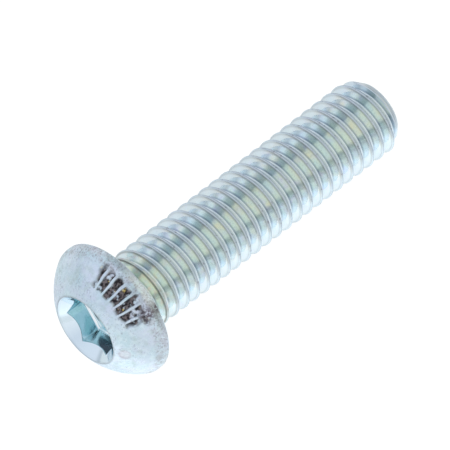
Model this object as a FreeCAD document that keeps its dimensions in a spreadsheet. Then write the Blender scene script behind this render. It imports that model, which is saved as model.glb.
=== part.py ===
import FreeCAD, Part
import math
import os

import Sketcher

# Button head socket screw, M6 x 1 coarse thread, 25 mm nominal length, zinc plated steel.
# One piece: the head is forged on a wire blank with its hexagon socket, and the thread is rolled.
# In its own axes the screw stands head up, with the bearing face of the head at height zero.
# It is then laid down as it comes to rest, on the rim of its head and the last crest of its thread.

doc = FreeCAD.newDocument("button_head_screw")

# Driving dimensions, millimetres and degrees
dimensions = {
    "shank_length": "25.2",
    "crest_diameter": "5.86",
    "thread_pitch": "1.0",
    "thread_depth": "0.6",
    "flank_angle": "30",
    "groove_clearance": "0.2",
    "first_groove": "0.658",
    "neck_diameter": "5.3",
    "neck_length": "0.8",
    "neck_bevel": "0.35",
    "point_length": "1.1",
    "point_angle": "40",
    "head_diameter": "10.28",
    "head_height": "3.09",
    "rim_height": "0.6",
    "rim_bevel": "0.15",
    "mouth_diameter": "5.48",
    "mouth_angle": "84",
    "socket_flats": "4.0",
    "socket_depth": "2.15",
    "socket_turn": "46",
    "floor_diameter": "3.7",
    "floor_angle": "120",
}

# What follows from them. Heights count from the bearing face towards the crown of the head. The dome
# is part of a ball centred on the axis, through the rim's top and the ring where the mouth begins.
derived = {
    "head_radius": "sizes.head_diameter / 2",
    "mouth_radius": "sizes.mouth_diameter / 2",
    "floor_radius": "sizes.floor_diameter / 2",
    "crest_radius": "sizes.crest_diameter / 2",
    "neck_radius": "sizes.neck_diameter / 2",
    "root_radius": "crest_radius - sizes.thread_depth",
    "dome_rise": "sizes.head_height - sizes.rim_height",
    "ring_square": "sizes.head_height^2 + mouth_radius^2",
    "rim_square": "sizes.rim_height^2 + head_radius^2",
    "dome_centre": "(ring_square - rim_square) / (2 * dome_rise)",
    "dome_radius": "sqrt(head_radius^2 + (sizes.rim_height - dome_centre)^2)",
    "crown_height": "dome_centre + dome_radius",
    "mouth_bottom": "sizes.head_height - mouth_radius / tan(sizes.mouth_angle / 2 * 1deg)",
    "floor_height": "sizes.head_height - sizes.socket_depth",
    "floor_bottom": "floor_height - floor_radius / tan(sizes.floor_angle / 2 * 1deg)",
    "shoulder_height": "neck_radius - crest_radius - sizes.neck_length",
    "bevel_height": "sizes.point_length - sizes.shank_length",
    "point_radius": "crest_radius - sizes.point_length * tan(sizes.point_angle * 1deg)",
    "flank_slope": "tan(sizes.flank_angle * 1deg)",
    "groove_travel": "sizes.shank_length - sizes.first_groove + 1.5 * sizes.thread_pitch",
    # At rest the rim of the head touches the ground, and so does the last full crest or, where that
    # stands lower, the crest cut down by the point's bevel
    "half_crest": "sizes.thread_pitch / 2 - sizes.thread_depth * flank_slope",
    "first_crest": "sizes.first_groove + sizes.thread_pitch / 2",
    "whole_turns": "floor((half_crest - bevel_height - first_crest) / sizes.thread_pitch)",
    "last_crest": "first_crest + whole_turns * sizes.thread_pitch + half_crest",
    "touch_height": "max(bevel_height; -last_crest)",
    "crest_slope": "(head_radius - crest_radius) / (sizes.rim_bevel - touch_height)",
    "point_crest": "first_crest + (whole_turns + 1) * sizes.thread_pitch - half_crest",
    "point_drop": "(point_crest + bevel_height) * tan(sizes.point_angle * 1deg)",
    "point_slope": "(head_radius - crest_radius + point_drop) / (sizes.rim_bevel + point_crest)",
    "tilt": "atan(min(crest_slope; point_slope))",
    "rear_end": "-sizes.head_height * cos(tilt) - mouth_radius * sin(tilt)",
    "front_end": "sizes.shank_length * cos(tilt) + point_radius * sin(tilt)",
    "middle_shift": "-(rear_end + front_end) / 2",
    "ground_shift": "head_radius * cos(tilt) - sizes.rim_bevel * sin(tilt)",
}


def filled_sheet(name, cells):
    """A spreadsheet with a word in its first column and that word's number or rule beside it."""
    sheet = doc.addObject("Spreadsheet::Sheet", name)
    for row, (alias, content) in enumerate(cells.items(), start=1):
        sheet.set(f"A{row}", alias)
        sheet.set(f"B{row}", content)
        sheet.setAlias(f"B{row}", alias)
    return sheet


filled_sheet("sizes", dimensions)
rules = filled_sheet("derived", {alias: "=" + rule for alias, rule in derived.items()})
doc.recompute()

screw = doc.addObject("PartDesign::Body", "button_head_screw")
screw.Label = "button_head_screw"


def value(expression):
    """The present value of a size or of a rule between sizes."""
    return float(rules.evalExpression(expression))


def sketch_on(role, name):
    """An empty sketch on one plane of the screw's own origin."""
    sketch = screw.newObject("Sketcher::SketchObject", name)
    plane = next(item for item in screw.Origin.OriginFeatures if item.Role == role)
    sketch.AttachmentSupport = (plane, [""])
    sketch.MapMode = "FlatFace"
    return sketch


def dimension(sketch, constraint, name, expression):
    """Add a constraint whose size follows the sheet."""
    index = sketch.addConstraint(constraint)
    sketch.renameConstraint(index, name)
    sketch.setExpression(f"Constraints.{name}", expression)


def half_section(name, corners, domed=None):
    """A closed half section through named corners, each at a radius and a height.

    From the corner named domed the outline goes on as an arc about a centre on the axis.
    """
    sketch = sketch_on("XZ_Plane", name)
    points = [FreeCAD.Vector(value(radius), value(height), 0) for label, radius, height in corners]
    for index, (label, radius, height) in enumerate(corners):
        start, finish = points[index], points[(index + 1) % len(corners)]
        if label == domed:
            centre = FreeCAD.Vector(0, value("derived.dome_centre"), 0)
            circle = Part.Circle(centre, FreeCAD.Vector(0, 0, 1), (finish - centre).Length)
            from_angle = math.atan2(start.y - centre.y, start.x)
            sketch.addGeometry(Part.ArcOfCircle(circle, from_angle, math.pi / 2), False)
            sketch.addConstraint(Sketcher.Constraint("PointOnObject", index, 3, -2))
        else:
            sketch.addGeometry(Part.LineSegment(start, finish), False)
    for index, (label, radius, height) in enumerate(corners):
        before = (index - 1) % len(corners)
        sketch.addConstraint(Sketcher.Constraint("Coincident", before, 2, index, 1))
        if radius == "0":
            sketch.addConstraint(Sketcher.Constraint("PointOnObject", index, 1, -2))
        else:
            across = Sketcher.Constraint("DistanceX", -1, 1, index, 1, value(radius))
            dimension(sketch, across, label + "_radius", radius)
        if height == "0":
            sketch.addConstraint(Sketcher.Constraint("PointOnObject", index, 1, -1))
        else:
            along = Sketcher.Constraint("DistanceY", -1, 1, index, 1, value(height))
            dimension(sketch, along, label + "_height", height)
    return sketch


def turned(kind, name, section):
    """A half section turned once about the screw's axis, as a solid or as a cut."""
    feature = screw.newObject(kind, name)
    feature.Profile = section
    feature.ReferenceAxis = (section, ["V_Axis"])
    feature.Angle = 360
    return feature


def bevelled_ring(name, base, radius, height, size):
    """A bevel along the round edge of a feature at one radius and height."""
    doc.recompute()
    names = []
    for index, edge in enumerate(base.Shape.Edges, start=1):
        if edge.Degenerated or not isinstance(edge.Curve, Part.Circle):
            continue
        if math.isclose(edge.Curve.Radius, value(radius)) and math.isclose(edge.Curve.Center.z, height):
            names.append(f"Edge{index}")
    bevel = screw.newObject("PartDesign::Chamfer", name)
    bevel.Base = (base, names)
    bevel.setExpression("Size", size)
    return bevel


# Blank: domed head with an upright rim, short neck, shank at crest diameter and bevelled point
blank_section = half_section(
    "blank_section",
    [
        ("tip", "0", "-sizes.shank_length"),
        ("point", "derived.point_radius", "-sizes.shank_length"),
        ("bevel", "derived.crest_radius", "derived.bevel_height"),
        ("shoulder", "derived.crest_radius", "derived.shoulder_height"),
        ("neck", "derived.neck_radius", "-sizes.neck_length"),
        ("seat", "derived.neck_radius", "0"),
        ("rim_foot", "derived.head_radius", "0"),
        ("rim_top", "derived.head_radius", "sizes.rim_height"),
        ("crown", "0", "derived.crown_height"),
    ],
    domed="rim_top",
)
blank = turned("PartDesign::Revolution", "blank", blank_section)

# The forging die breaks the rim's lower edge and fills the corner between neck and bearing face
rim_bevel = bevelled_ring("rim_bevel", blank, "derived.head_radius", 0, "sizes.rim_bevel")
bevelled_ring("neck_bevel", rim_bevel, "derived.neck_radius", 0, "sizes.neck_bevel")

# Conical mouth of the socket, which ends the dome in a sharp ring
mouth_section = half_section(
    "mouth_section",
    [
        ("bottom", "0", "derived.mouth_bottom"),
        ("ring", "derived.mouth_radius", "sizes.head_height"),
        ("outer", "derived.mouth_radius", "derived.crown_height"),
        ("middle", "0", "derived.crown_height"),
    ],
)
turned("PartDesign::Groove", "mouth", mouth_section)

# Hexagon socket, sunk from the height of that ring
SIDES = 6
socket_section = sketch_on("XY_Plane", "socket_section")
socket_section.setExpression("AttachmentOffset.Base.z", "sizes.head_height")
origin = FreeCAD.Vector(0, 0, 0)
corner_circle = Part.Circle(origin, FreeCAD.Vector(0, 0, 1), value("sizes.socket_flats / sqrt(3)"))
turns = [math.radians(value("sizes.socket_turn")) + side * math.tau / SIDES for side in range(SIDES)]
hexagon = [corner_circle.value(turn) for turn in turns]
for side in range(SIDES):
    socket_section.addGeometry(Part.LineSegment(hexagon[side], hexagon[(side + 1) % SIDES]), False)
guide = socket_section.addGeometry(corner_circle, True)
spoke = socket_section.addGeometry(Part.LineSegment(origin, hexagon[0]), True)
for side in range(SIDES):
    after = (side + 1) % SIDES
    socket_section.addConstraint(Sketcher.Constraint("Coincident", side, 2, after, 1))
    socket_section.addConstraint(Sketcher.Constraint("PointOnObject", side, 1, guide))
    if after:
        socket_section.addConstraint(Sketcher.Constraint("Equal", side, after))
socket_section.addConstraint(Sketcher.Constraint("Coincident", guide, 3, -1, 1))
socket_section.addConstraint(Sketcher.Constraint("Coincident", spoke, 1, -1, 1))
socket_section.addConstraint(Sketcher.Constraint("Coincident", spoke, 2, 0, 1))
corner_radius = Sketcher.Constraint("Radius", guide, corner_circle.Radius)
dimension(socket_section, corner_radius, "corner_radius", "sizes.socket_flats / sqrt(3)")
spoke_turn = Sketcher.Constraint("Angle", -1, 1, spoke, 1, turns[0])
dimension(socket_section, spoke_turn, "spoke_turn", "sizes.socket_turn * 1deg")
socket = screw.newObject("PartDesign::Pocket", "socket")
socket.Profile = socket_section
socket.setExpression("Length", "sizes.socket_depth")

# The punch leaves a shallow cone in the socket's floor
floor_section = half_section(
    "floor_section",
    [
        ("bottom", "0", "derived.floor_bottom"),
        ("edge", "derived.floor_radius", "derived.floor_height"),
        ("middle", "0", "derived.floor_height"),
    ],
)
turned("PartDesign::Groove", "socket_floor", floor_section)

# Right-hand thread: one V groove from the neck, down the shank and out past the point. It starts on
# the underside. Its section has corners at the root, pitch and crest lines and clear of the shank.
lines = [
    ("pitch", "sizes.thread_depth / 2"),
    ("crest", "sizes.thread_depth"),
    ("clear", "(sizes.thread_depth + sizes.groove_clearance)"),
]
lower_flank, upper_flank = (
    [
        (
            f"{line}_{side}",
            f"derived.root_radius + {rise}",
            f"-sizes.first_groove {sign} {rise} * derived.flank_slope",
        )
        for line, rise in lines
    ]
    for side, sign in (("lower", "-"), ("upper", "+"))
)
root = ("root", "derived.root_radius", "-sizes.first_groove")
groove_section = half_section("groove_section", [root, *lower_flank, *reversed(upper_flank)])
groove_section.AttachmentOffset.Rotation = FreeCAD.Rotation(FreeCAD.Vector(0, 1, 0), 180)
thread = screw.newObject("PartDesign::SubtractiveHelix", "thread")
thread.Profile = groove_section
thread.ReferenceAxis = (groove_section, ["V_Axis"])
thread.Mode = "pitch-height-angle"
thread.Reversed = True
thread.setExpression("Pitch", "sizes.thread_pitch")
thread.setExpression("Height", "derived.groove_travel")
screw.Tip = thread

# Laid down along X, head towards -X: the rim and the last crest touch the ground, and the origin
# is on the ground below the middle
screw.Placement.Rotation = FreeCAD.Rotation(FreeCAD.Vector(0, 1, 0), -90)
screw.setExpression("Placement.Rotation.Angle", "derived.tilt - 90deg")
screw.setExpression("Placement.Base.x", "derived.middle_shift")
screw.setExpression("Placement.Base.z", "derived.ground_shift")
doc.recompute()

for item in doc.Objects:
    if "Invalid" in item.State or "Error" in item.State:
        raise RuntimeError(f"{item.Name} did not build: {item.State}")
if screw.Shape.isNull() or not screw.Shape.isValid():
    raise RuntimeError("the screw's shape is not valid")

os.makedirs("parts", exist_ok=True)
screw.Shape.exportStep(f"parts/{screw.Label}.step")
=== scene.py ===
import bmesh
import bpy
import math

import numpy as np
from mathutils import Matrix, Vector, noise


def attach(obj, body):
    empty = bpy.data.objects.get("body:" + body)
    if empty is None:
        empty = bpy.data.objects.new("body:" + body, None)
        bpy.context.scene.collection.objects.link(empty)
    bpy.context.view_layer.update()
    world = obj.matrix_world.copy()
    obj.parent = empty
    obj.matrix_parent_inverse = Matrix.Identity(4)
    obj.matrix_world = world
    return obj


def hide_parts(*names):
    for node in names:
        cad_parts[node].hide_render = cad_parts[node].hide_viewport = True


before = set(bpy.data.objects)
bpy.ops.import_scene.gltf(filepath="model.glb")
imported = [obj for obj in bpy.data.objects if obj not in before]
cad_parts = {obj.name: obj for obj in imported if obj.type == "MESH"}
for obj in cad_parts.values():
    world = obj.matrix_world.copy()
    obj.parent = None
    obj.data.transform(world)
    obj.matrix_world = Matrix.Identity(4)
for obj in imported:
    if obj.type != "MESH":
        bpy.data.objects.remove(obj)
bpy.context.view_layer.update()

# How the screw lies. It is made standing on its point, with the bearing face of its head at height
# zero, and is then laid down with its head towards -X. The rim of the head and the last crest of the
# thread rest on the ground, so its axis falls a little towards the point.
MM = 0.001
CREST_RADIUS = 2.93 * MM
HEAD_RADIUS = 5.14 * MM
RIM_BEVEL = 0.15 * MM
LAST_CREST = 24.1 * MM
TILT = math.atan((HEAD_RADIUS - CREST_RADIUS) / (RIM_BEVEL + LAST_CREST))
SEAT_CENTRE = Vector((-10.9761, 0, 5.1052)) * MM
LAID = Matrix.Translation(SEAT_CENTRE) @ Matrix.Rotation(TILT - math.pi / 2, 4, "Y")

# Shank. A steel wire of the thread's pitch diameter, rolled between two dies that press the grooves
# in and raise the crests, right-handed, one turn a millimetre. The tree lays a sheet of rows round
# the shank, each following the helix, and closes it at the point.
PITCH = 1.0 * MM
SHANK_LENGTH = 25.18 * MM
ROLLED_RADIUS = 2.89 * MM
NECK_RADIUS = 2.65 * MM
NECK_FILLET = 0.35 * MM
SEAT_RADIUS = NECK_RADIUS + NECK_FILLET
GROOVE_HEIGHT = -0.328 * MM
GATHERING = 0.6
NECK_END, FULL_THREAD = -0.5, -1.15
COLUMNS = 96
ROWS_PER_TURN = 20
TURNS = 27
FACE_ROWS = 7
FIRST_COLUMN = math.radians(46)


def new_tree(name, inputs):
    """An empty geometry tree with one output and named inputs, each with its kind and value."""
    tree = bpy.data.node_groups.new(name, "GeometryNodeTree")
    tree.interface.new_socket("Geometry", in_out="OUTPUT", socket_type="NodeSocketGeometry")
    for label, (kind, start) in inputs.items():
        socket = tree.interface.new_socket(label, in_out="INPUT", socket_type=kind)
        if start is not None:
            socket.default_value = start
    return tree, tree.nodes.new("NodeGroupInput"), tree.nodes.new("NodeGroupOutput")


def maths(tree, operation, *values, clamped=False):
    """One Math node; a value is a number or a socket of another node."""
    node = tree.nodes.new("ShaderNodeMath")
    node.operation = operation
    node.use_clamp = clamped
    for socket, value in zip(node.inputs, values):
        if isinstance(value, (int, float)):
            socket.default_value = value
        else:
            tree.links.new(value, socket)
    return node.outputs[0]


def eased(tree, value, start, end):
    """Rises smoothly from 0 to 1 as the value goes from start to end."""
    node = tree.nodes.new("ShaderNodeMapRange")
    node.interpolation_type = "SMOOTHSTEP"
    tree.links.new(value, node.inputs["Value"])
    node.inputs["From Min"].default_value = start
    node.inputs["From Max"].default_value = end
    return node.outputs["Result"]


shank_sizes = {
    "Pitch": ("NodeSocketFloat", PITCH),
    "Crest Radius": ("NodeSocketFloat", ROLLED_RADIUS),
    "Sharp Root Radius": ("NodeSocketFloat", 2.11 * MM),
    "Root Radius": ("NodeSocketFloat", 2.22 * MM),
    "Root Rounding": ("NodeSocketFloat", 0.06 * MM),
    "Crest Rounding": ("NodeSocketFloat", 0.03 * MM),
    "Seam Depth": ("NodeSocketFloat", 0.022 * MM),
    "Seam Share": ("NodeSocketFloat", 0.022),
    "Groove Height": ("NodeSocketFloat", GROOVE_HEIGHT),
    "Length": ("NodeSocketFloat", SHANK_LENGTH),
    "Neck Radius": ("NodeSocketFloat", NECK_RADIUS),
    "Neck Fillet": ("NodeSocketFloat", NECK_FILLET),
    "Point Radius": ("NodeSocketFloat", 2.18 * MM),
    "Point Slope": ("NodeSocketFloat", math.tan(math.radians(40))),
    "Columns": ("NodeSocketInt", COLUMNS),
    "Rows per Turn": ("NodeSocketInt", ROWS_PER_TURN),
    "Turns": ("NodeSocketInt", TURNS),
    "Face Rows": ("NodeSocketInt", FACE_ROWS),
    "First Column": ("NodeSocketFloat", FIRST_COLUMN),
    "Finish": ("NodeSocketMaterial", None),
}
tree, given, result = new_tree("rolled_thread", shank_sizes)
size = given.outputs
thread_rows = maths(tree, "MULTIPLY", size["Rows per Turn"], size["Turns"])
rows = maths(tree, "ADD", thread_rows, size["Face Rows"])
sheet = tree.nodes.new("GeometryNodeMeshGrid")
sheet.inputs["Size X"].default_value = 1
sheet.inputs["Size Y"].default_value = 1
tree.links.new(maths(tree, "ADD", size["Columns"], 1), sheet.inputs["Vertices X"])
tree.links.new(maths(tree, "ADD", rows, 1), sheet.inputs["Vertices Y"])
place = tree.nodes.new("GeometryNodeInputPosition")
split = tree.nodes.new("ShaderNodeSeparateXYZ")
tree.links.new(place.outputs[0], split.inputs[0])
around = maths(tree, "ADD", split.outputs["X"], 0.5)
along = maths(tree, "ADD", split.outputs["Y"], 0.5)
row = maths(tree, "ROUND", maths(tree, "MULTIPLY", along, rows))
thread_row = maths(tree, "MINIMUM", row, thread_rows)

# Height of a row: it climbs one pitch a turn, and stops at the head and at the end of the point. The
# rows are gathered at the crest and the root, where the profile turns.
climb = maths(tree, "ADD", around, maths(tree, "DIVIDE", size["First Column"], math.tau))
down = maths(tree, "DIVIDE", thread_row, size["Rows per Turn"])
swing = maths(tree, "SINE", maths(tree, "MULTIPLY", down, 2 * math.tau))
gathered = maths(tree, "MULTIPLY_ADD", swing, -GATHERING / (2 * math.tau), down)
turns_up = maths(tree, "SUBTRACT", maths(tree, "ADD", climb, 1), gathered)
free_height = maths(tree, "MULTIPLY_ADD", turns_up, size["Pitch"], size["Groove Height"])
end_height = maths(tree, "MULTIPLY", size["Length"], -1)
height = maths(tree, "MINIMUM", maths(tree, "MAXIMUM", free_height, end_height), 0)

# Radius across one pitch: a narrow crest, two flanks at 60 degrees to each other and a rounded root.
# The metal that the dies raise meets in a fine seam along the middle of the crest.
from_groove = maths(tree, "SUBTRACT", height, size["Groove Height"])
phase = maths(tree, "SUBTRACT", maths(tree, "DIVIDE", from_groove, size["Pitch"]), climb)
folded = maths(tree, "PINGPONG", phase, 0.5)
flank_rise = maths(tree, "MULTIPLY", maths(tree, "MULTIPLY", folded, math.sqrt(3)), size["Pitch"])
flank = maths(tree, "ADD", flank_rise, size["Sharp Root Radius"])
groove = maths(tree, "SMOOTH_MAX", flank, size["Root Radius"], size["Root Rounding"])
from_seam = maths(tree, "DIVIDE", maths(tree, "SUBTRACT", 0.5, folded), size["Seam Share"])
seam_share = maths(tree, "SUBTRACT", 1, from_seam, clamped=True)
seam = maths(tree, "MULTIPLY", seam_share, size["Seam Depth"])
crest = maths(tree, "SUBTRACT", size["Crest Radius"], seam)
threaded = maths(tree, "SMOOTH_MIN", groove, crest, size["Crest Rounding"])

# The groove runs out into the neck, and a fillet joins the neck to the head's bearing face
in_millimetres = maths(tree, "DIVIDE", height, MM)
neck_share = eased(tree, in_millimetres, FULL_THREAD, NECK_END)
in_fillet = maths(tree, "MAXIMUM", maths(tree, "ADD", height, size["Neck Fillet"]), 0)
fillet_square = maths(tree, "POWER", maths(tree, "DIVIDE", in_fillet, size["Neck Fillet"]), 2)
fillet_gap = maths(tree, "SQRT", maths(tree, "SUBTRACT", 1, fillet_square, clamped=True))
fillet_rise = maths(tree, "MULTIPLY", maths(tree, "SUBTRACT", 1, fillet_gap), size["Neck Fillet"])
neck = maths(tree, "ADD", size["Neck Radius"], fillet_rise)
kept = maths(tree, "MULTIPLY", threaded, maths(tree, "SUBTRACT", 1, neck_share))
shank = maths(tree, "ADD", kept, maths(tree, "MULTIPLY", neck, neck_share))

# The point tapers at 40 degrees to the axis, and its end face closes in rings
up_point = maths(tree, "ADD", height, size["Length"])
bevel = maths(tree, "MULTIPLY_ADD", up_point, size["Point Slope"], size["Point Radius"])
pointed = maths(tree, "SMOOTH_MIN", shank, bevel, size["Root Rounding"])
face_share = maths(tree, "DIVIDE", maths(tree, "SUBTRACT", row, thread_row), size["Face Rows"])
radius = maths(tree, "MULTIPLY", pointed, maths(tree, "SUBTRACT", 1, face_share))
turn = maths(tree, "MULTIPLY", climb, math.tau)
join = tree.nodes.new("ShaderNodeCombineXYZ")
tree.links.new(maths(tree, "MULTIPLY", radius, maths(tree, "COSINE", turn)), join.inputs["X"])
tree.links.new(maths(tree, "MULTIPLY", radius, maths(tree, "SINE", turn)), join.inputs["Y"])
tree.links.new(height, join.inputs["Z"])
shaped = tree.nodes.new("GeometryNodeSetPosition")
tree.links.new(sheet.outputs["Mesh"], shaped.inputs["Geometry"])
tree.links.new(join.outputs[0], shaped.inputs["Position"])
welded = tree.nodes.new("GeometryNodeMergeByDistance")
welded.inputs["Distance"].default_value = 0.0005 * MM
tree.links.new(shaped.outputs[0], welded.inputs["Geometry"])
realised = tree.nodes.new("GeometryNodeRealizeInstances")
tree.links.new(welded.outputs[0], realised.inputs["Geometry"])
finished = tree.nodes.new("GeometryNodeSetMaterial")
tree.links.new(realised.outputs[0], finished.inputs["Geometry"])
tree.links.new(size["Finish"], finished.inputs["Material"])
tree.links.new(finished.outputs[0], result.inputs["Geometry"])

zinc = bpy.data.materials.new("zinc_plating")


def made_by(tree, name, inputs):
    """The plain mesh that a geometry tree makes, with inputs given by name."""
    carrier = bpy.data.objects.new(name, bpy.data.meshes.new(name))
    bpy.context.scene.collection.objects.link(carrier)
    modifier = carrier.modifiers.new("tree", "NODES")
    modifier.node_group = tree
    for item in tree.interface.items_tree:
        if item.item_type == "SOCKET" and item.in_out == "INPUT" and item.name in inputs:
            modifier[item.identifier] = inputs[item.name]
    scene_graph = bpy.context.evaluated_depsgraph_get()
    mesh = bpy.data.meshes.new_from_object(carrier.evaluated_get(scene_graph))
    bpy.data.objects.remove(carrier)
    return mesh


shank_mesh = made_by(tree, "rolled_shank", {"Finish": zinc})

# Head. Upset on the wire in two blows, which leave the domed crown, the upright rim and the hexagon
# socket with its conical mouth. It is turned here as rings about the axis, welded to the neck, and
# the rings are finest where the die has stamped a patch of plain bars beside the rim.
DOME_CENTRE = -1.953 * MM
DOME_RADIUS = 5.739 * MM
RIM_HEIGHT = 0.6 * MM
HEAD_HEIGHT = 3.09 * MM
MOUTH_RADIUS = 2.74 * MM
MOUTH_SLOPE = math.tan(math.radians(42))
SOCKET_APOTHEM = 2.0 * MM
SOCKET_REACH = 2.4 * MM
SOCKET_FLOOR = 0.94 * MM
SOCKET_BOTTOM = -0.9 * MM
FLOOR_RADIUS = 1.7 * MM
FLOOR_FILLET = 0.24 * MM
FLOOR_SLOPE = math.tan(math.radians(60))
PATCH_ANGLE = math.radians(-21)
PATCH_HALF_WIDTH = math.radians(31)
PATCH_RADIUS = 4.42 * MM
PATCH_HALF_HEIGHT = 0.6 * MM
PATCH_DEPTH = 0.10 * MM
PATCH_GRAIN = 0.02 * MM
FINE_RINGS_END = 3.85 * MM
FINE_COLUMNS_END = math.radians(36)
BAR_ANGLE = math.radians(9.5)
DENT_ANGLE = math.radians(-86.5)
DENT_RADIUS = 3.4 * MM
DENT_HALF_WIDTH, DENT_HALF_HEIGHT, DENT_DEPTH = 0.42 * MM, 0.33 * MM, 0.03 * MM
STAIN_ANGLE = math.radians(-45.5)
STAIN_RADIUS = 4.9 * MM
STAIN_HALF_WIDTH, STAIN_HALF_HEIGHT = 0.75 * MM, 0.4 * MM
# Bearing of the half of the socket's bottom that is given painted shade
SHADED_HALF_ANGLE = math.radians(101)

# Columns of the head: three for each column of the shank, and nine beside the patch
steps = []
for index in range(COLUMNS):
    middle = FIRST_COLUMN + (index + 0.5) * math.tau / COLUMNS
    from_patch = math.remainder(middle - PATCH_ANGLE, math.tau)
    steps.append(9 if abs(from_patch) < FINE_COLUMNS_END else 3)
starts = np.concatenate([[0], np.cumsum(steps)])
HEAD_COLUMNS = int(starts[-1])
columns = np.concatenate([(index + np.arange(count) / count) for index, count in enumerate(steps)])
columns = FIRST_COLUMN + columns * math.tau / COLUMNS
around_side = np.mod(columns - FIRST_COLUMN, math.pi / 3) - math.pi / 6
hexagon = SOCKET_APOTHEM / np.cos(around_side)


def arc(centre_radius, centre_height, arc_radius, angles):
    """Points of an arc as pairs of radius and height, angles in degrees from straight outwards."""
    turned = np.radians(angles)
    radii = centre_radius + arc_radius * np.cos(turned)
    return list(zip(radii, centre_height + arc_radius * np.sin(turned)))


rim_angle = math.degrees(math.asin((RIM_HEIGHT - DOME_CENTRE) / DOME_RADIUS))
fine_angle = math.degrees(math.acos(FINE_RINGS_END / DOME_RADIUS))
ring_angle = math.degrees(math.acos(MOUTH_RADIUS / DOME_RADIUS))
outline = [(r * MM, 0) for r in (3.06, 3.15, 3.7, 4.4, 4.9)]
outline += arc(HEAD_RADIUS - RIM_BEVEL, RIM_BEVEL, RIM_BEVEL, np.linspace(-90, 0, 6))
outline += [(HEAD_RADIUS, h * MM) for h in (0.25, 0.38, 0.47)]
outline += arc(0, DOME_CENTRE, DOME_RADIUS, np.linspace(rim_angle + 0.9, fine_angle, 52))
outline += arc(0, DOME_CENTRE, DOME_RADIUS, np.linspace(fine_angle, ring_angle - 0.4, 14)[1:])
level = np.ones(HEAD_COLUMNS)
rings = [(radius * level, height * level) for radius, height in outline]
for share in (0.02, 0.08, 0.25, 0.5, 0.75, 0.93, 0.985):
    ring_radius = MOUTH_RADIUS + (hexagon - MOUTH_RADIUS) * share
    rings.append((ring_radius, HEAD_HEIGHT - (MOUTH_RADIUS - ring_radius) / MOUTH_SLOPE))
edge_height = HEAD_HEIGHT - (MOUTH_RADIUS - hexagon) / MOUTH_SLOPE
wall_foot = SOCKET_FLOOR + FLOOR_FILLET
for share in (0.015, 0.05, 0.2, 0.4, 0.6, 0.8, 1.0):
    rings.append((hexagon, edge_height + (wall_foot - edge_height) * share))
for turned in np.radians((22, 45, 68)):
    fillet_radius = hexagon - FLOOR_FILLET * (1 - np.cos(turned))
    rings.append((fillet_radius, (wall_foot - FLOOR_FILLET * np.sin(turned)) * level))
floor_edge = hexagon - FLOOR_FILLET
for share in (0.0, 0.5, 0.9):
    rings.append((floor_edge + (FLOOR_RADIUS - floor_edge) * share, SOCKET_FLOOR * level))
for share in (0.02, 0.1, 0.35, 0.6, 0.85):
    cone_height = SOCKET_FLOOR - FLOOR_RADIUS * share / FLOOR_SLOPE
    rings.append((FLOOR_RADIUS * (1 - share) * level, cone_height * level))

# Weld: the rings join the top edge of the neck in a fan of triangles, then each other in squares
screw = bmesh.new()
screw.from_mesh(shank_mesh)
seat_ring = [v for v in screw.verts if abs(v.co.z) < 1e-9 and v.co.xy.length > NECK_RADIUS]
seat_ring.sort(key=lambda v: (math.atan2(v.co.y, v.co.x) - FIRST_COLUMN + 1e-3) % math.tau)
ring_verts = []
for ring_radius, ring_height in rings:
    x, y = ring_radius * np.cos(columns), ring_radius * np.sin(columns)
    ring_verts.append([screw.verts.new(corner) for corner in zip(x, y, ring_height)])
for index, corner in enumerate(seat_ring):
    following = seat_ring[(index + 1) % COLUMNS]
    outer = [ring_verts[0][step % HEAD_COLUMNS] for step in range(starts[index], starts[index + 1] + 1)]
    half = len(outer) // 2
    for inner, part in ((corner, outer[: half + 1]), (following, outer[half:])):
        for before, after in zip(part, part[1:]):
            screw.faces.new((inner, after, before))
    screw.faces.new((corner, following, outer[half]))
for lower, upper in zip(ring_verts, ring_verts[1:]):
    for index in range(HEAD_COLUMNS):
        after = (index + 1) % HEAD_COLUMNS
        screw.faces.new((lower[index], lower[after], upper[after], upper[index]))
middle = screw.verts.new((0, 0, SOCKET_FLOOR - FLOOR_RADIUS / FLOOR_SLOPE))
for index in range(HEAD_COLUMNS):
    screw.faces.new((ring_verts[-1][index], ring_verts[-1][(index + 1) % HEAD_COLUMNS], middle))
bmesh.ops.recalc_face_normals(screw, faces=screw.faces)
for face in screw.faces:
    face.smooth = True
screw_mesh = bpy.data.meshes.new("socket_screw")
screw.to_mesh(screw_mesh)
screw.free()

# Relief: the patch is sunk, and bars across it are left standing. The dies leave the steel's skin
# slightly uneven, and the shank a little off the head's centre.
SKIN_DEPTH = 0.008 * MM
OFF_CENTRE = 0.05 * MM
LIT_SIDE = math.radians(-25.85)
OFF_CENTRE_ANGLE = LIT_SIDE - math.pi / 2


def ramped(values, low, high):
    """0 below low, 1 above high and a smooth rise between them."""
    share = np.clip((values - low) / (high - low), 0, 1)
    return share * share * (3 - 2 * share)


def clouds(points, scale, offset):
    """Soft noise between about -1 and 1 at each point, in patches of the given size."""
    shifted = points / scale + offset
    return np.array([noise.noise(Vector(point)) for point in shifted])


corners = np.empty(3 * len(screw_mesh.vertices))
screw_mesh.vertices.foreach_get("co", corners)
corners = corners.reshape(-1, 3)
up = corners[:, 2]
reach = np.hypot(corners[:, 0], corners[:, 1])
bearing = np.arctan2(corners[:, 1], corners[:, 0])
on_head = ramped(up, -0.2 * MM, -0.05 * MM)
on_dome = (up > 0.55 * MM) & (reach > MOUTH_RADIUS * 0.999)
from_axis = corners - np.array([0, 0, DOME_CENTRE])
outward = from_axis / np.linalg.norm(from_axis, axis=1)[:, None]
across = np.remainder(bearing - PATCH_ANGLE + math.pi, math.tau) - math.pi
wobble = clouds(corners, 0.5 * MM, 7)
edge_around = ramped(np.abs(across) / PATCH_HALF_WIDTH + 0.16 * wobble, 1.0, 0.85)
edge_in_out = ramped(np.abs(reach - PATCH_RADIUS) / PATCH_HALF_HEIGHT + 0.3 * wobble, 1.0, 0.75)
patch = edge_around * edge_in_out * on_dome
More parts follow.
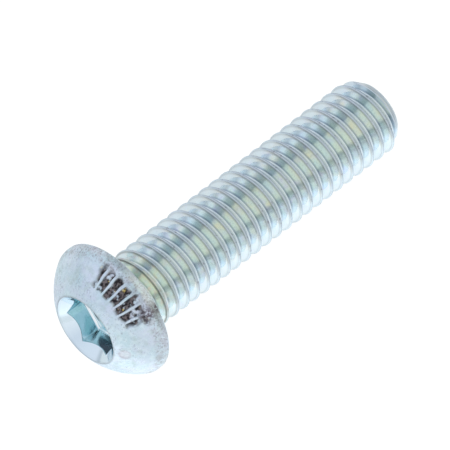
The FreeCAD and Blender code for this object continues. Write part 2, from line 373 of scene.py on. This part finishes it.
bar_place = np.abs(np.remainder(across / BAR_ANGLE + 0.06 * wobble, 1) - 0.5) * 2
bars = ramped(bar_place, 0.36, 0.2)
ground = patch * (1 - bars)
dent_around = np.remainder(bearing - DENT_ANGLE + math.pi, math.tau) - math.pi
dent_side = dent_around * DENT_RADIUS / DENT_HALF_WIDTH
dent_reach = np.hypot(dent_side, (reach - DENT_RADIUS) / DENT_HALF_HEIGHT)
dent = ramped(dent_reach, 1.0, 0.7) * on_dome
stain_around = np.remainder(bearing - STAIN_ANGLE + math.pi, math.tau) - math.pi
stain_side = stain_around * STAIN_RADIUS / STAIN_HALF_WIDTH
stain_reach = np.hypot(stain_side, (reach - STAIN_RADIUS) / STAIN_HALF_HEIGHT)
stain = ramped(stain_reach + 0.35 * wobble, 1.1, 0.5) * on_head
skin = clouds(corners, 0.9 * MM, 3) * 0.6 + clouds(corners, 0.25 * MM, 19) * 0.25
sunk = PATCH_DEPTH * ground + DENT_DEPTH * dent + SKIN_DEPTH * (skin + 0.85) * on_dome
sunk += PATCH_GRAIN * (1 + clouds(corners, 0.12 * MM, 43)) * ground
corners -= outward * sunk[:, None]
off_centre = OFF_CENTRE * ramped(up, -0.3 * MM, -1.5 * MM)
corners[:, 0] += off_centre * math.cos(OFF_CENTRE_ANGLE)
corners[:, 1] += off_centre * math.sin(OFF_CENTRE_ANGLE)
screw_mesh.vertices.foreach_set("co", corners.reshape(-1))

# Marks tell the plating where it lies. Each rises from 0 to 1 between two heights, two distances from
# the axis, or two depths under the crests.
on_thread = up < -1.0 * MM
turn_share = np.mod((up - GROOVE_HEIGHT) / PITCH - bearing / math.tau, 1)
faces_head = on_thread & (turn_share > 0.5)
beside_view = np.abs(np.sin(bearing - LIT_SIDE))
depth = ROLLED_RADIUS - reach
below_mouth = HEAD_HEIGHT - (MOUTH_RADIUS - reach) / MOUTH_SLOPE - up
in_socket = (below_mouth > 0.01 * MM) & (reach < SOCKET_REACH)
# Painted shade: the bottom of the socket is coloured nearly black on the half that lies in shadow
shaded_half = ramped(np.cos(bearing - SHADED_HALF_ANGLE), 0.35, 0.8) * ramped(up, 1.0 * MM, 0.9 * MM)
# Painted highlight: the ring of the socket's floor and the fillet above it
foot = ramped(up, 1.16 * MM, 1.08 * MM) * (up > SOCKET_FLOOR - 0.01 * MM)
marks = {
    "frosted": ramped(up, 0.02 * MM, 0.12 * MM) * (reach > MOUTH_RADIUS * 1.001),
    "mouth": ramped(up, 0.2 * MM, 0.3 * MM) * (reach < MOUTH_RADIUS * 1.001),
    "socket": ramped(up, SOCKET_BOTTOM, SOCKET_BOTTOM + 0.1 * MM) * in_socket,
    # Painted shade on one half of the socket's bottom
    "bottom": shaded_half * in_socket * (up > SOCKET_BOTTOM),
    "mouth_ring": ramped(np.abs(reach - MOUTH_RADIUS), 0.07 * MM, 0.01 * MM) * (up > 2 * MM),
    # Painted highlight on the socket's floor ring
    "foot": foot * (reach > FLOOR_RADIUS + 0.02 * MM) * (reach < SOCKET_REACH),
    "stamped": ground,
    "stained": stain,
    "dented": dent,
    "dent_edge": ramped(np.abs(dent_reach - 0.95), 0.3, 0.05) * on_dome,
    "rim": ramped(reach, 4.75 * MM, 5.0 * MM) * on_head,
    # Painted reflection on the bevel of the point
    "point": ramped(up, -24.2 * MM, -24.5 * MM) * (reach > 2.0 * MM),
    # Beside the head: olive and rose film, and painted shadow under the crests
    "near_head": ramped(up, -3.6 * MM, -1.6 * MM) * (reach < SEAT_RADIUS) * (up < 0),
    # Painted reflection and light: the thread's two sides, a quarter turn from the lit side
    "blue_side": ramped(beside_view, 0.72, 0.92) * on_thread,
    # Crests: painted shade, nicks and a rougher finish
    "crest": ramped(depth, 0.045 * MM, 0.03 * MM) * on_thread,
    # Painted shade along the seam
    "seam": ramped(depth, 0.012 * MM, 0.019 * MM) * ramped(depth, 0.036 * MM, 0.028 * MM) * on_thread,
    # Painted shade under the crests, on the flanks that face the head
    "lip": ramped(depth, 0.03 * MM, 0.05 * MM) * ramped(depth, 0.15 * MM, 0.08 * MM) * faces_head,
    # Painted reflection on the flanks that face the head
    "warm": ramped(depth, 0.45 * MM, 0.15 * MM) * ramped(depth, 0.03 * MM, 0.06 * MM) * faces_head,
    # Painted shade where the flanks that face the head meet the root
    "root_edge": ramped(depth, 0.51 * MM, 0.55 * MM) * ramped(depth, 0.63 * MM, 0.60 * MM) * faces_head,
    # Roots: painted light and a rougher finish
    "root": ramped(depth, 0.59 * MM, 0.62 * MM) * on_thread,
}
for label, values in marks.items():
    layer = screw_mesh.attributes.new(label, "FLOAT", "POINT")
    layer.data.foreach_set("value", values.astype(np.float32))
screw_mesh.transform(LAID)
screw_mesh.update()
screw_mesh.materials.clear()
screw_mesh.materials.append(zinc)
socket_screw = bpy.data.objects.new("socket_screw", screw_mesh)
bpy.context.scene.collection.objects.link(socket_screw)

# Zinc plating, a few thousandths thick, passivated pale blue. It is bright on the rolled flanks and
# frosted on the forged head. Its film shifts from blue to lavender and faint green, and beside the
# head to olive and rose.
# Painted shade, light and reflection are laid over the film on the thread, at the point and in the
# socket.
zinc.use_nodes = True
nodes, links = zinc.node_tree.nodes, zinc.node_tree.links
surface = nodes["Principled BSDF"]
surface.inputs["Metallic"].default_value = 1
spot = nodes.new("ShaderNodeTexCoord").outputs["Object"]


def patches(size, detail, low, high, stretch=(1, 1, 1)):
    """Noise in patches of a size in metres, spread from 0 at low to 1 at high."""
    scaled = nodes.new("ShaderNodeMapping")
    scaled.inputs["Scale"].default_value = [share / size for share in stretch]
    links.new(spot, scaled.inputs["Vector"])
    pattern = nodes.new("ShaderNodeTexNoise")
    pattern.inputs["Scale"].default_value = 1
    pattern.inputs["Detail"].default_value = detail
    links.new(scaled.outputs[0], pattern.inputs["Vector"])
    spread = nodes.new("ShaderNodeMapRange")
    links.new(pattern.outputs["Fac"], spread.inputs["Value"])
    spread.inputs["From Min"].default_value = low
    spread.inputs["From Max"].default_value = high
    return spread.outputs["Result"]


def marked(label):
    """A value stored on the screw's surface."""
    node = nodes.new("ShaderNodeAttribute")
    node.attribute_name = label
    return node.outputs["Fac"]


def tinted(share, under, over):
    """One colour over another; each is a colour or a socket of another node."""
    node = nodes.new("ShaderNodeMix")
    node.data_type = "RGBA"
    for label, value in (("Factor", share), ("A", under), ("B", over)):
        if isinstance(value, tuple):
            node.inputs[label].default_value = (*value, 1)
        elif isinstance(value, (int, float)):
            node.inputs[label].default_value = value
        else:
            links.new(value, node.inputs[label])
    return node.outputs["Result"]


def calc(operation, *values):
    """One Math node of the plating."""
    return maths(zinc.node_tree, operation, *values)


def coat(under, share, strength, over):
    """A colour laid over another at a strength, where a share is high."""
    return tinted(calc("MULTIPLY", share, strength), under, over)


film = tinted(patches(1.1 * MM, 2, 0.38, 0.62), (0.75, 0.87, 0.92), (0.80, 0.89, 0.87))
film = tinted(patches(0.7 * MM, 2, 0.52, 0.70), film, (0.78, 0.81, 0.94))
film = tinted(patches(1.2 * MM, 3, 0.52, 0.68), film, (0.85, 0.87, 0.80))
film = coat(film, patches(0.14 * MM, 3, 0.50, 0.66), 0.35, (0.58, 0.66, 0.70))
# Painted reflection: the bevel of the point is coloured darker, for the darker ground it mirrors
film = coat(film, marked("point"), 0.7, (0.52, 0.59, 0.68))
# Painted light: the painted lines of the thread below are weaker on its two sides, a quarter turn from
# the lit side
fainter_sides = calc("SUBTRACT", 0.85, calc("MULTIPLY", marked("blue_side"), 0.45))
# Painted shade: the crests are coloured darker
film = coat(film, marked("crest"), fainter_sides, (0.55, 0.63, 0.72))
# Painted shade: a dark line along the seam in the middle of each crest
film = coat(film, marked("seam"), 0.7, (0.40, 0.43, 0.50))
nicks = calc("MULTIPLY", marked("crest"), patches(0.3 * MM, 3, 0.60, 0.66))
film = coat(film, nicks, 0.7, (0.28, 0.29, 0.33))
# Painted reflection: the flanks that face the head are tinted warm
film = coat(film, marked("warm"), 0.45, (0.86, 0.83, 0.78))
# Painted reflection: the thread's two sides are tinted sky blue
film = coat(film, marked("blue_side"), 0.5, (0.76, 0.87, 0.98))
# Painted shade: a dark line on the flanks that face the head, just under each crest
film = coat(film, marked("lip"), fainter_sides, (0.32, 0.35, 0.37))
# Painted light: the root of each groove is coloured near white, lifting its shade
film = coat(film, marked("root"), 0.9, (0.88, 0.95, 1.0))
# Painted shade: a dark line on the flanks that face the head, where they meet the root
film = coat(film, marked("root_edge"), fainter_sides, (0.30, 0.36, 0.44))
olive = calc("MULTIPLY", marked("near_head"), patches(0.9 * MM, 2, 0.38, 0.52))
film = coat(film, olive, calc("MULTIPLY", fainter_sides, 0.5), (0.80, 0.87, 0.66))
rosy = calc("MULTIPLY", marked("near_head"), patches(0.6 * MM, 2, 0.56, 0.66))
film = coat(film, rosy, 0.45, (0.86, 0.70, 0.66))
# Painted shadow: beside the head the line under the crests is coloured near black
film = coat(film, marked("lip"), marked("near_head"), (0.16, 0.15, 0.14))
frost = tinted(patches(1.3 * MM, 3, 0.36, 0.64), (0.64, 0.79, 0.86), (0.73, 0.79, 0.91))
frost = coat(frost, patches(0.6 * MM, 4, 0.52, 0.66), 0.6, (0.58, 0.68, 0.69))
frost = coat(frost, patches(0.35 * MM, 3, 0.50, 0.66), 0.5, (0.80, 0.91, 0.96))
pits = calc("MULTIPLY", patches(0.16 * MM, 4, 0.56, 0.68), patches(2.2 * MM, 2, 0.40, 0.60))
frost = coat(frost, pits, 0.85, (0.40, 0.43, 0.50))
rough_rim = calc("MULTIPLY", marked("rim"), patches(0.4 * MM, 4, 0.42, 0.60))
frost = coat(frost, rough_rim, 0.5, (0.50, 0.49, 0.53))
specks = calc("MULTIPLY", marked("rim"), patches(0.13 * MM, 3, 0.54, 0.62))
frost = coat(frost, specks, 0.45, (0.24, 0.21, 0.22))
frost = coat(frost, marked("dented"), 0.35, (0.74, 0.62, 0.66))
# Painted reflection: the walls of the socket are tinted teal, in patches
inside = tinted(patches(0.6 * MM, 3, 0.40, 0.60), (0.62, 0.80, 0.86), (0.56, 0.76, 0.80))
# Painted shade: one half of the socket's bottom is coloured nearly black
inside = tinted(marked("bottom"), inside, (0.09, 0.10, 0.12))
# Painted highlight: the ring of the socket's floor and its fillet are coloured near white
inside = coat(inside, marked("foot"), 0.9, (0.97, 0.98, 1.0))
plated = tinted(marked("frosted"), film, frost)
plated = coat(plated, marked("dent_edge"), 0.5, (0.50, 0.44, 0.50))
plated = tinted(marked("mouth"), plated, (0.78, 0.88, 0.95))
plated = coat(plated, marked("mouth_ring"), 0.8, (0.34, 0.38, 0.42))
plated = tinted(marked("socket"), plated, inside)
stain_share = calc("MULTIPLY", marked("stained"), patches(0.17 * MM, 4, 0.34, 0.50))
plated = coat(plated, stain_share, 0.9, (0.13, 0.10, 0.12))
# The sunk ground between the bars of the patch is coloured nearly black, with a few gold spots
patch_dark = tinted(patches(0.22 * MM, 3, 0.45, 0.60), (0.030, 0.027, 0.030), (0.20, 0.17, 0.17))
patch_dark = tinted(patches(0.5 * MM, 2, 0.66, 0.71), patch_dark, (0.62, 0.47, 0.16))
patch_dark_share = calc("MULTIPLY", marked("stamped"), patches(0.45 * MM, 3, 0.34, 0.46))
links.new(tinted(patch_dark_share, plated, patch_dark), surface.inputs["Base Color"])
polish = calc("MULTIPLY_ADD", patches(0.5 * MM, 2, 0.3, 0.7), 0.05, 0.09)
satin = calc("MULTIPLY_ADD", patches(0.3 * MM, 3, 0.3, 0.7), 0.16, 0.24)
satin_share = marked("frosted")
polished = calc("MULTIPLY", polish, calc("SUBTRACT", 1, satin_share))
finish = calc("MULTIPLY_ADD", satin, satin_share, polished)
finish = calc("MAXIMUM", finish, calc("MULTIPLY", marked("crest"), 0.42))
finish = calc("MAXIMUM", finish, calc("MULTIPLY", marked("root"), 0.42))
links.new(finish, surface.inputs["Roughness"])
grain = calc("ADD", patches(0.09 * MM, 3, 0, 1), calc("MULTIPLY", patches(0.35 * MM, 2, 0, 1), 2))
bump = nodes.new("ShaderNodeBump")
bump.inputs["Distance"].default_value = 0.012 * MM
links.new(calc("MULTIPLY_ADD", satin_share, 0.75, 0.12), bump.inputs["Strength"])
links.new(grain, bump.inputs["Height"])
links.new(bump.outputs["Normal"], surface.inputs["Normal"])

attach(socket_screw, "root")
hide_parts("button_head_screw")

# Ground. A white sheet of board under the screw. What mirrors in the plating is brightest beside the
# middle of the shank and falls off towards the board's edges.
LIT_SPAN = 60
board_mesh = bpy.data.meshes.new("board")
board_mesh.from_pydata([(-2, -2, 0), (2, -2, 0), (2, 2, 0), (-2, 2, 0)], [], [(0, 1, 2, 3)])
board = bpy.data.objects.new("board", board_mesh)
bpy.context.scene.collection.objects.link(board)
white_board = bpy.data.materials.new("white_board")
white_board.use_nodes = True
nodes, links = white_board.node_tree.nodes, white_board.node_tree.links
nodes.clear()
output = nodes.new("ShaderNodeOutputMaterial")
rays = nodes.new("ShaderNodeLightPath")
plain = nodes.new("ShaderNodeBsdfDiffuse")
plain.inputs["Color"].default_value = (0.8, 0.8, 0.8, 1)
sheen = nodes.new("ShaderNodeEmission")
spot = nodes.new("ShaderNodeTexCoord")
apart = nodes.new("ShaderNodeSeparateXYZ")
links.new(spot.outputs["Object"], apart.inputs[0])


def levels(coordinate, stops):
    """A light level that follows a coordinate of the board, given as pairs of millimetres and level."""
    scaled = nodes.new("ShaderNodeMapRange")
    links.new(apart.outputs[coordinate], scaled.inputs["Value"])
    scaled.inputs["From Min"].default_value = -LIT_SPAN / 2 * MM
    scaled.inputs["From Max"].default_value = LIT_SPAN / 2 * MM
    ramp = nodes.new("ShaderNodeValToRGB")
    links.new(scaled.outputs["Result"], ramp.inputs[0])
    while len(ramp.color_ramp.elements) < len(stops):
        ramp.color_ramp.elements.new(0.5)
    for stop, (place, level) in zip(ramp.color_ramp.elements, stops):
        stop.position = place / LIT_SPAN + 0.5
        stop.color = (level, level, level, 1)
    return ramp.outputs["Color"]


along_screw = levels("X", [(-20, 0.85), (-12, 1.0), (15, 1.0), (20, 0.1)])
towards_back = levels("Y", [(-13, 0.30), (-8.5, 0.38), (-5, 0.70), (8, 0.27)])
sheen.inputs["Color"].default_value = (0.93, 0.98, 1, 1)
links.new(maths(white_board.node_tree, "MULTIPLY", along_screw, towards_back), sheen.inputs["Strength"])
lit = nodes.new("ShaderNodeAddShader")
links.new(plain.outputs[0], lit.inputs[0])
links.new(sheen.outputs[0], lit.inputs[1])
mirrored = nodes.new("ShaderNodeMixShader")
links.new(rays.outputs["Is Glossy Ray"], mirrored.inputs[0])
links.new(plain.outputs[0], mirrored.inputs[1])
links.new(lit.outputs[0], mirrored.inputs[2])
faint = nodes.new("ShaderNodeBsdfDiffuse")
faint.inputs["Color"].default_value = (0.3, 0.3, 0.3, 1)
glow = nodes.new("ShaderNodeEmission")
glow.inputs["Color"].default_value = (0.86, 0.86, 0.86, 1)
both = nodes.new("ShaderNodeAddShader")
links.new(faint.outputs[0], both.inputs[0])
links.new(glow.outputs[0], both.inputs[1])
mixed = nodes.new("ShaderNodeMixShader")
links.new(rays.outputs["Is Camera Ray"], mixed.inputs[0])
links.new(mirrored.outputs[0], mixed.inputs[1])
links.new(both.outputs[0], mixed.inputs[2])
links.new(mixed.outputs[0], output.inputs["Surface"])
board_mesh.materials.append(white_board)

# Studio. The screw lies in a tent of pale cloth, whose strips run the same way as the screw. Between
# two strips is a dark gap, and the camera looks in through a dim opening. Its floor is the board.
AXIS = -(LAID.to_3x3() @ Vector((0, 0, 1)))
AZIMUTH, ELEVATION = math.radians(-44.9), math.radians(56.9)
OPENING, OPENING_EDGE = math.radians(12), math.radians(20)
TOWARDS = Vector(
    (
        math.sin(AZIMUTH) * math.cos(ELEVATION),
        -math.cos(AZIMUTH) * math.cos(ELEVATION),
        math.sin(ELEVATION),
    )
)
NEAR = (TOWARDS - AXIS * TOWARDS.dot(AXIS)).normalized()
SIDE = AXIS.cross(NEAR)
world = bpy.data.worlds.new("studio")
bpy.context.scene.world = world
world.use_nodes = True
nodes, links = world.node_tree.nodes, world.node_tree.links
backdrop = nodes["Background"]
direction = nodes.new("ShaderNodeTexCoord")


def share_along(axis):
    """How far a direction points along an axis, from -1 to 1."""
    node = nodes.new("ShaderNodeVectorMath")
    node.operation = "DOT_PRODUCT"
    links.new(direction.outputs["Generated"], node.inputs[0])
    node.inputs[1].default_value = axis
    return node.outputs["Value"]


def strips(bands):
    """Cloth colours by the angle round the screw, in degrees from the side that faces the camera."""
    ramp = nodes.new("ShaderNodeValToRGB")
    links.new(round_share, ramp.inputs[0])
    stops = ramp.color_ramp.elements
    while len(stops) < len(bands):
        stops.new(0.5)
    for stop, (angle, colour) in zip(stops, bands):
        stop.position = angle / 360 + 0.5
        stop.color = (*colour, 1)
    return ramp.outputs["Color"]


angle = maths(world.node_tree, "ARCTAN2", share_along(SIDE), share_along(NEAR))
round_share = maths(world.node_tree, "MULTIPLY_ADD", angle, 1 / math.tau, 0.5)
point_end = strips(
    [
        (-128, (0.95, 0.95, 0.95)),
        (-113, (0.81, 0.83, 0.85)),
        (-102, (0.64, 0.65, 0.68)),
        (-90, (0.92, 0.93, 0.98)),
        (-78, (0.94, 0.96, 1.00)),
        (-70, (0.68, 0.72, 0.74)),
        (-61, (0.46, 0.53, 0.55)),
        (-37, (0.37, 0.43, 0.45)),
        (-31, (0.72, 0.76, 0.72)),
        (-15, (0.83, 0.85, 0.77)),
        (15, (0.88, 0.89, 0.79)),
        (38, (0.84, 0.85, 0.75)),
        (49, (0.45, 0.49, 0.48)),
        (56, (0.50, 0.55, 0.53)),
        (64, (0.72, 0.78, 0.76)),
        (90, (1.0, 1.0, 1.0)),
    ]
)
head_end = strips(
    [
        (-124, (0.84, 0.88, 0.90)),
        (-119, (0.56, 0.61, 0.66)),
        (-112, (0.56, 0.61, 0.66)),
        (-102, (0.80, 0.84, 0.91)),
        (-60, (0.78, 0.83, 0.90)),
        (0, (0.72, 0.77, 0.84)),
        (60, (0.88, 0.91, 0.94)),
        (110, (1.0, 1.0, 1.0)),
    ]
)
end_share = eased(world.node_tree, share_along(AXIS), -0.25, 0.1)
cloth = tinted(end_share, head_end, point_end)
opening_share = eased(world.node_tree, share_along(TOWARDS), math.cos(OPENING_EDGE), math.cos(OPENING))
opening = tinted(opening_share, cloth, (0.54, 0.58, 0.60))
rays = nodes.new("ShaderNodeLightPath")
shown = tinted(rays.outputs["Is Camera Ray"], opening, (1, 1, 1))
links.new(shown, backdrop.inputs["Color"])

# Camera: a long lens above the head's side, turned so that the seat of the head falls at one pixel
PIXELS = 450
PIXELS_PER_MM = 14.607
SEAT_ACROSS, SEAT_DOWN = 117.08, 306.08
DISTANCE = 1.2
SENSOR = 36
right = Vector((math.cos(AZIMUTH), math.sin(AZIMUTH), 0))
above = TOWARDS.cross(right)
from_seat = right * (PIXELS / 2 - SEAT_ACROSS) + above * (SEAT_DOWN - PIXELS / 2)
centre = SEAT_CENTRE + from_seat / PIXELS_PER_MM * MM
lens = bpy.data.cameras.new("camera")
camera = bpy.data.objects.new("camera", lens)
bpy.context.scene.collection.objects.link(camera)
bpy.context.scene.camera = camera
lens.sensor_width = SENSOR
lens.lens = SENSOR * DISTANCE / (PIXELS / PIXELS_PER_MM * MM)
lens.clip_start = 0.01
turned_to_view = Matrix((right, above, TOWARDS)).transposed().to_4x4()
camera.matrix_world = Matrix.Translation(centre + TOWARDS * DISTANCE) @ turned_to_view
bpy.context.scene.view_settings.view_transform = "Standard"
